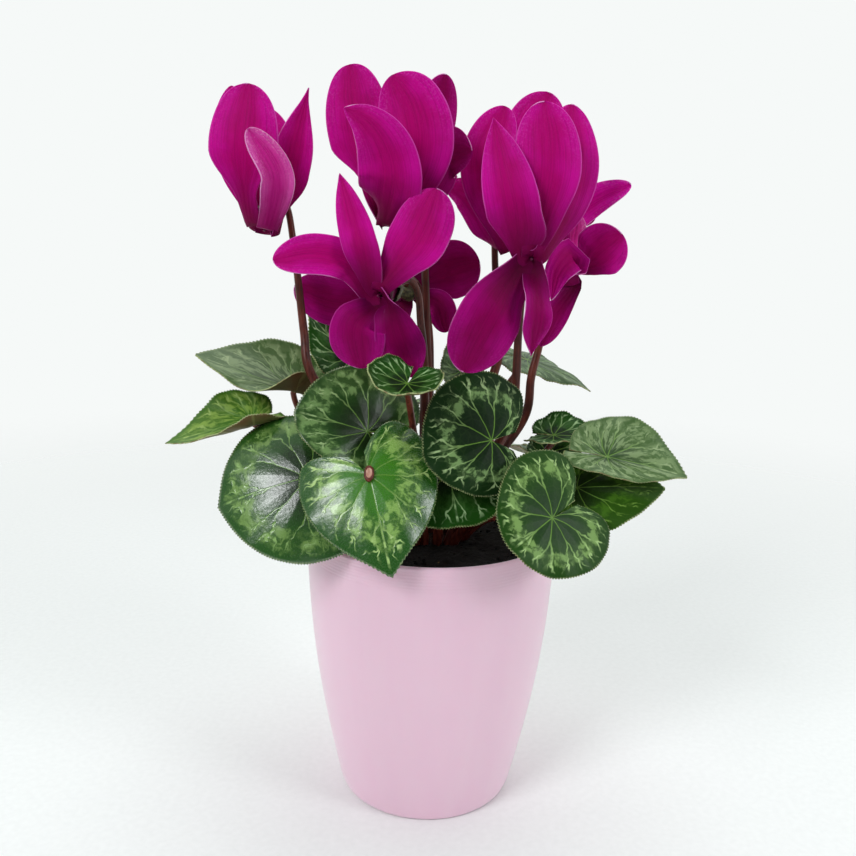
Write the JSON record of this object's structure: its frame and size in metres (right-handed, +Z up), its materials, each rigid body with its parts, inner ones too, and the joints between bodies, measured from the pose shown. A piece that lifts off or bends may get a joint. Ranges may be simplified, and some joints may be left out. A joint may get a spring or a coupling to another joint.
{
  "type": "potted cyclamen",
  "caption": "House plant: a tapered pot of compost holding a tuber with heart-shaped leaves on stalks and nodding flowers with swept-back petals; stands on its flat base.",
  "frame": {"origin": "centre of the pot's flat underside", "axes": "+Z up along the pot's axis, -Y towards the front of the plant, +X to its right as seen from the front"},
  "size_m": [0.2502, 0.2057, 0.367],
  "materials": {
    "pot_plastic": "satin",
    "compost": "matte",
    "red_stalk": "satin",
    "leaf_green": "satin",
    "petal_magenta": "matte"
  },
  "bodies": {
    "root": {"pot": "pot_plastic", "soil": "compost", "tuber_and_leaf_stalks": "red_stalk", "leaf_01": "leaf_green", "leaf_02": "leaf_green", "leaf_03": "leaf_green", "leaf_04": "leaf_green", "leaf_05": "leaf_green", "leaf_06": "leaf_green", "leaf_07": "leaf_green", "leaf_08": "leaf_green", "leaf_09": "leaf_green", "leaf_10": "leaf_green", "leaf_11": "leaf_green", "leaf_12": "leaf_green", "leaf_13": "leaf_green", "leaf_14": "leaf_green", "leaf_15": "leaf_green", "leaf_16": "leaf_green", "leaf_17": "leaf_green", "leaf_18": "leaf_green", "leaf_19": "leaf_green", "leaf_20": "leaf_green", "leaf_21": "leaf_green", "leaf_22": "leaf_green", "leaf_23": "leaf_green", "leaf_24": "leaf_green", "leaf_25": "leaf_green", "leaf_26": "leaf_green", "bloom_1": "petal_magenta", "bloom_stalk_1": "red_stalk", "bloom_2": "petal_magenta", "bloom_stalk_2": "red_stalk", "bloom_3": "petal_magenta", "bloom_stalk_3": "red_stalk", "bloom_4": "petal_magenta", "bloom_stalk_4": "red_stalk", "bloom_5": "petal_magenta", "bloom_stalk_5": "red_stalk", "bloom_6": "petal_magenta", "bloom_stalk_6": "red_stalk", "bloom_7": "petal_magenta", "bloom_stalk_7": "red_stalk"}
  },
  "joints": []
}
